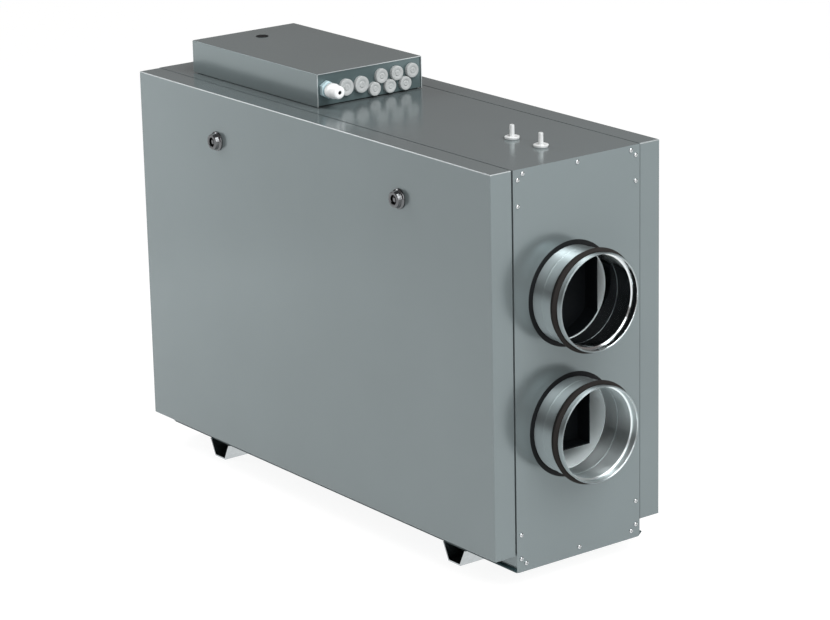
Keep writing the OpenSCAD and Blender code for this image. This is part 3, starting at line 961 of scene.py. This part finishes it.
@dataclass
class CableGland:
    """Cable gland on the control box's end wall: hexagon, thread and cap nut. Sizes are in mm."""

    hex_l: float = 9.0
    hex_edge: float = 0.8
    thread_d: float = 20.0
    thread_l: float = 4.0
    thread_depth: float = 0.8
    thread_pitch: float = 1.5
    thread_in_cap: float = 2.0
    thread_points: int = 48
    tail_l: float = 4.5
    cap_d: float = 26.0
    cap_l: float = 28.0
    cap_points: int = 64
    tip_d: float = 20.0
    hole_d: float = 6.5
    hole_depth: float = 14.0
    seal_depth: float = 1.2
    seal_l: float = 4.0
    seal_play: float = 0.1
    seal_points: int = 32

    def body(self, hex_r: float) -> Piece:
        """Make the hexagon with its chamfers and the thread behind the cap.

        Args:
            hex_r: Radius of the hexagon over its corners in millimetres.

        Returns:
            The body, with its axis along +Z and the wall's face at zero.
        """
        Bench.deselect()
        bpy.ops.mesh.primitive_cylinder_add(vertices=6, radius=hex_r * MM, depth=self.hex_l * MM,
                                            location=(0.0, 0.0, self.hex_l / 2 * MM))
        hexagon = bpy.context.active_object
        bpy.ops.object.transform_apply(location=True, rotation=True, scale=True)
        Bench.rounded(hexagon, self.hex_edge, segments=3)
        crest, pitch = self.thread_d / 2, self.thread_pitch
        root = crest - self.thread_depth
        outline: Outline = [(root, -self.tail_l), (root, self.hex_l)]
        for turn in range(int((self.thread_l + self.thread_in_cap) / pitch)):
            z = self.hex_l + turn * pitch
            outline += [(crest, z + 0.35 * pitch), (crest, z + 0.6 * pitch),
                        (root, z + 0.95 * pitch)]
        thread = Bench.turned("thread", outline, self.thread_points)
        return Bench.joined("gland_body", [hexagon, thread])

    def cap(self) -> Piece:
        """Make the cap nut with its rounded tip and cable hole.

        Returns:
            The cap, with its axis along +Z and its back at zero.
        """
        r, tip, hole, end = self.cap_d / 2, self.tip_d / 2, self.hole_d / 2, self.cap_l
        return Bench.turned("gland_cap", [
            (r - 1.2, 0.0), (r - 0.4, 0.25), (r, 1.0), (r, 0.42 * end), (r - 0.2, 0.47 * end),
            (r - 0.9, 0.52 * end), (r - 1.3, 0.55 * end), (tip + 1.5, 0.82 * end),
            (tip + 1.1, 0.9 * end), (tip + 0.3, 0.95 * end), (tip - 1.0, 0.98 * end),
            (tip - 2.4, end), (hole + 0.8, end), (hole + 0.2, end - 0.3), (hole, end - 0.9),
            (hole, end - self.hole_depth),
        ], self.cap_points)

    def seal(self) -> Piece:
        """Make the dished rubber seal that closes the cable hole.

        Returns:
            The seal, with its axis along +Z and the cap's back at zero.
        """
        r, face = self.hole_d / 2 + self.seal_play, self.cap_l - self.seal_depth
        return Bench.turned("gland_seal", [
            (r, face - self.seal_l), (r, face), (0.8 * r, face - 0.1), (0.5 * r, face - 0.6),
            (0.15 * r, face - 0.8),
        ], self.seal_points)

    def build(self, wardrobe: Wardrobe) -> None:
        """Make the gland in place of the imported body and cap.

        Args:
            wardrobe: The unit's finishes.
        """
        low, high = corners("cable_gland", MM)
        axis = middle_of("gland_cap") / MM
        wall = Vector((high.x - self.hex_l - self.thread_l, axis.y, axis.z))
        hex_r = max(high.y - low.y, high.z - low.z) / 2
        outward = Vector((1.0, 0.0, 0.0))
        body = Bench.repeated("cable_gland_body", self.body(hex_r), [facing(outward, wall * MM)])
        wardrobe.dress_piece(Bench.smooth(body, angle_deg=30.0), Slot.WHITE_PLASTIC,
                             wardrobe.gland_blue)
        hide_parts("cable_gland")
        cap_back = wall + Vector((self.hex_l + self.thread_l, 0.0, 0.0))
        at_cap = [facing(outward, cap_back * MM)]
        cap = Bench.repeated("cable_gland_cap", self.cap(), at_cap)
        wardrobe.dress_piece(Bench.smooth(cap), Slot.WHITE_PLASTIC)
        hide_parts("gland_cap")
        seal = Bench.repeated("cable_gland_seal", self.seal(), at_cap)
        wardrobe.dress_piece(Bench.smooth(seal), Slot.BLACK_RUBBER)
        LOG.info("cable gland: body, cap and seal")


@dataclass
class PressureNipple:
    """Pressure tapping on the top cover: rounded base with a hollow tube. Sizes are in mm."""

    node: str
    base_t: float = 5.0
    tube_r: float = 4.0
    hole_r: float = 2.25
    ring_points: int = 48

    def nipple(self, r: float, h: float) -> Piece:
        """Make the nipple on the cover's face.

        Args:
            r: Radius of the base in millimetres.
            h: Height of the whole nipple in millimetres.

        Returns:
            The nipple, with its axis along +Z and its foot at zero.
        """
        t, tube, hole = self.base_t, self.tube_r, self.hole_r
        return Bench.turned("nipple", [
            (0.8 * r, 0.0), (0.9 * r, 0.05 * t), (0.945 * r, 0.18 * t), (0.95 * r, 0.3 * t),
            (0.93 * r, 0.38 * t), (0.95 * r, 0.44 * t), (0.985 * r, 0.5 * t), (r, 0.64 * t),
            (0.985 * r, 0.82 * t), (0.94 * r, 0.94 * t), (0.86 * r, t), (0.72 * r, 0.97 * t),
            (0.52 * r, 0.9 * t), (tube + 1.0, 0.88 * t), (tube + 0.3, 0.96 * t),
            (tube, 1.15 * t), (tube, h - 1.0), (tube - 0.15, h - 0.4), (tube - 0.5, h),
            (hole + 0.35, h), (hole + 0.08, h - 0.25), (hole, h - 0.7), (hole, t),
        ], self.ring_points)

    def build(self, wardrobe: Wardrobe) -> None:
        """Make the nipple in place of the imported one.

        Args:
            wardrobe: The unit's finishes.
        """
        low, high = corners(self.node, MM)
        pattern = self.nipple((high.x - low.x) / 2, high.z - low.z)
        foot = Vector(((low.x + high.x) / 2, (low.y + high.y) / 2, low.z))
        nipple = Bench.repeated(f"{self.node}_moulded", pattern, [Matrix.Translation(foot * MM)])
        wardrobe.dress_piece(Bench.smooth(nipple), Slot.WHITE_PLASTIC, wardrobe.nipple_white)
        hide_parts(self.node)
        LOG.info("%s: base and tube", nipple.name)


class PackedBody:
    """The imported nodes, which keep their shape and take a finish."""

    def __init__(self, nodes: dict[str, Piece], record: dict) -> None:
        """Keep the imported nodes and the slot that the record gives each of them.

        Args:
            nodes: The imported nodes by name.
            record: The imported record.
        """
        self.nodes = nodes
        self.slots = {row["node"]: Slot(row["material_slot"]) for row in record["subparts"]}

    def dress(self, wardrobe: Wardrobe) -> None:
        """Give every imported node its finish.

        Args:
            wardrobe: The unit's finishes.
        """
        for name, node in self.nodes.items():
            wardrobe.dress_node(name, node, self.slots[name])
        LOG.info("packed nodes dressed: %d", len(self.nodes))


@dataclass(frozen=True)
class PhotoCamera:
    """Camera that stands where the photograph was taken from."""

    eye: Triple = (4.20095, -3.12474, 1.91675)
    azimuth_deg: float = 52.898
    elevation_deg: float = 16.833
    roll_deg: float = -1.203
    focal_px: float = 3161.32
    image_width_px: int = 830
    sensor_mm: float = 36.0
    sight: float = 200.0

    def build(self) -> None:
        """Make the camera and give it to the scene."""
        Bench.deselect()
        bpy.ops.object.camera_add(location=self.eye)
        camera = bpy.context.active_object
        turn = (Matrix.Rotation(math.radians(self.azimuth_deg), 3, "Z")
                @ Matrix.Rotation(math.radians(90.0 - self.elevation_deg), 3, "X")
                @ Matrix.Rotation(math.radians(self.roll_deg), 3, "Z"))
        camera.rotation_euler = turn.to_euler()
        camera.data.sensor_fit = "HORIZONTAL"
        camera.data.sensor_width = self.sensor_mm
        camera.data.lens = self.focal_px * self.sensor_mm / self.image_width_px
        camera.data.clip_end = self.sight
        bpy.context.scene.camera = camera


@dataclass(frozen=True)
class SoftBox:
    """Soft lamp of the studio."""

    name: str
    at: Triple
    aim: Triple
    size: tuple[float, float]
    watts: float
    mirrored: bool = True

    def build(self) -> None:
        """Hang the lamp, turn it to its aim and choose whether glossy surfaces mirror it."""
        Bench.deselect()
        bpy.ops.object.light_add(type="AREA", location=self.at)
        lamp = bpy.context.active_object
        lamp.name = self.name
        lamp.data.shape = "RECTANGLE"
        lamp.data.size, lamp.data.size_y = self.size
        lamp.data.energy = self.watts
        lamp.visible_glossy = self.mirrored
        direction = Vector(self.aim) - Vector(self.at)
        lamp.rotation_euler = direction.to_track_quat("-Z", "Y").to_euler()


@dataclass(frozen=True)
class SoftSun:
    """Broad soft light that reaches the whole floor evenly."""

    towards: Triple = (0.68, 0.2, 0.7)
    distance: float = 5.0
    width_deg: float = 45.0
    strength: float = 1.15

    def build(self) -> None:
        """Hang the light and turn it so that it shines down on the unit."""
        Bench.deselect()
        bpy.ops.object.light_add(type="SUN", location=Vector(self.towards) * self.distance)
        sun = bpy.context.active_object
        sun.name = "soft_sun"
        sun.data.energy = self.strength
        sun.data.angle = math.radians(self.width_deg)
        sun.rotation_euler = Vector(self.towards).to_track_quat("Z", "Y").to_euler()


@dataclass(frozen=True)
class SkyDome:
    """Surrounding of the studio, dim round the walls and brighter overhead."""

    wall_colour: Colour = (0.215, 0.193, 0.188)
    roof_colour: Colour = (0.28, 0.28, 0.28)
    wall_top: float = 0.36

    def build(self) -> None:
        """Make the surrounding and give it to the scene."""
        world = bpy.data.worlds.new("studio_surrounding")
        world.use_nodes = True
        tree = world.node_tree
        place = tree.nodes.new("ShaderNodeTexCoord")
        parts = tree.nodes.new("ShaderNodeSeparateXYZ")
        ramp = tree.nodes.new("ShaderNodeValToRGB")
        stops = ((self.wall_top, self.wall_colour), (1.0, self.roof_colour))
        for element, (position, colour) in zip(ramp.color_ramp.elements, stops):
            element.position = position
            element.color = (*colour, 1.0)
        tree.links.new(place.outputs["Generated"], parts.inputs["Vector"])
        tree.links.new(parts.outputs["Z"], ramp.inputs["Fac"])
        tree.links.new(ramp.outputs["Color"], tree.nodes["Background"].inputs["Color"])
        bpy.context.scene.world = world


@dataclass(frozen=True)
class Studio:
    """Plain pale floor, soft lamps and a surrounding."""

    floor_size: float = 60.0
    floor_colour: Colour = (0.92, 0.92, 0.92)
    white_share: float = 0.79
    mirror_share: float = 0.88
    white_strength: float = 1.14  # Times its share it comes to about 1 at most, which is white.
    sky: SkyDome = SkyDome()
    sun: SoftSun = SoftSun()
    lamps: tuple[SoftBox, ...] = (
        SoftBox("front_left", at=(-1.15, -0.8, 0.95), aim=(-0.35, -0.17, 0.5),
                size=(0.4, 1.8), watts=15.0, mirrored=False),
        SoftBox("right", at=(2.1, -0.45, 1.5), aim=(0.5, 0.0, 0.37),
                size=(1.7, 1.7), watts=26.0),
        SoftBox("upper_left", at=(-1.9, -0.9, 2.1), aim=(0.0, -0.17, 0.7),
                size=(1.0, 1.0), watts=10.0),
        SoftBox("overhead", at=(0.95, 0.25, 2.0), aim=(0.55, 0.0, 0.5),
                size=(0.6, 1.0), watts=12.0),
    )

    def floor_material(self) -> Material:
        """Make the floor's finish: white to the eye and in reflections, with the shadow kept.

        Returns:
            The material with its nodes.
        """
        sheet = NodeSheet("pale_floor")
        path = sheet.add("ShaderNodeLightPath")
        shares = {"Is Camera Ray": self.white_share, "Is Glossy Ray": self.mirror_share,
                  "Is Transmission Ray": self.white_share}
        total: Socket | float = 0.0
        for ray, share in shares.items():
            total = sheet.math("MULTIPLY_ADD", path.outputs[ray], share, total)
        matt = sheet.add("ShaderNodeBsdfDiffuse", Color=(*self.floor_colour, 1.0))
        white = sheet.add("ShaderNodeEmission", Strength=self.white_strength)
        mix = sheet.add("ShaderNodeMixShader", Fac=total)
        sheet.link(matt.outputs["BSDF"], mix.inputs[1])
        sheet.link(white.outputs["Emission"], mix.inputs[2])
        sheet.link(mix.outputs["Shader"], sheet.output.inputs["Surface"])
        return sheet.material

    def build(self) -> None:
        """Lay the floor, set the surrounding and hang the lamps."""
        Bench.deselect()
        bpy.ops.mesh.primitive_plane_add(size=self.floor_size)
        floor = bpy.context.active_object
        floor.name = "studio_floor"
        floor.data.materials.append(self.floor_material())
        for light in (self.sky, self.sun, *self.lamps):
            light.build()
        bpy.context.scene.view_settings.view_transform = "Standard"


def main() -> None:
    """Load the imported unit, dress it piece by piece and set up the studio."""
    logging.basicConfig(level=logging.INFO, format="%(name)s: %(message)s")
    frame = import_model()
    PhotoCamera().build()
    wardrobe = Wardrobe()
    PackedBody(frame["nodes"], frame["record"]).dress(wardrobe)
    for end in End:
        EndScrews(end).build(wardrobe)
    for side in Side:
        PanelLocks(side).build(wardrobe)
    for node, count in (("large_grommets", 2), ("upper_grommets", 3), ("lower_grommets", 3)):
        GrommetRow(node, count).build(wardrobe)
    CableGland().build(wardrobe)
    for node in ("inner_nipple", "outer_nipple"):
        PressureNipple(node).build(wardrobe)
    Studio().build()


if __name__ == "__main__":
    main()
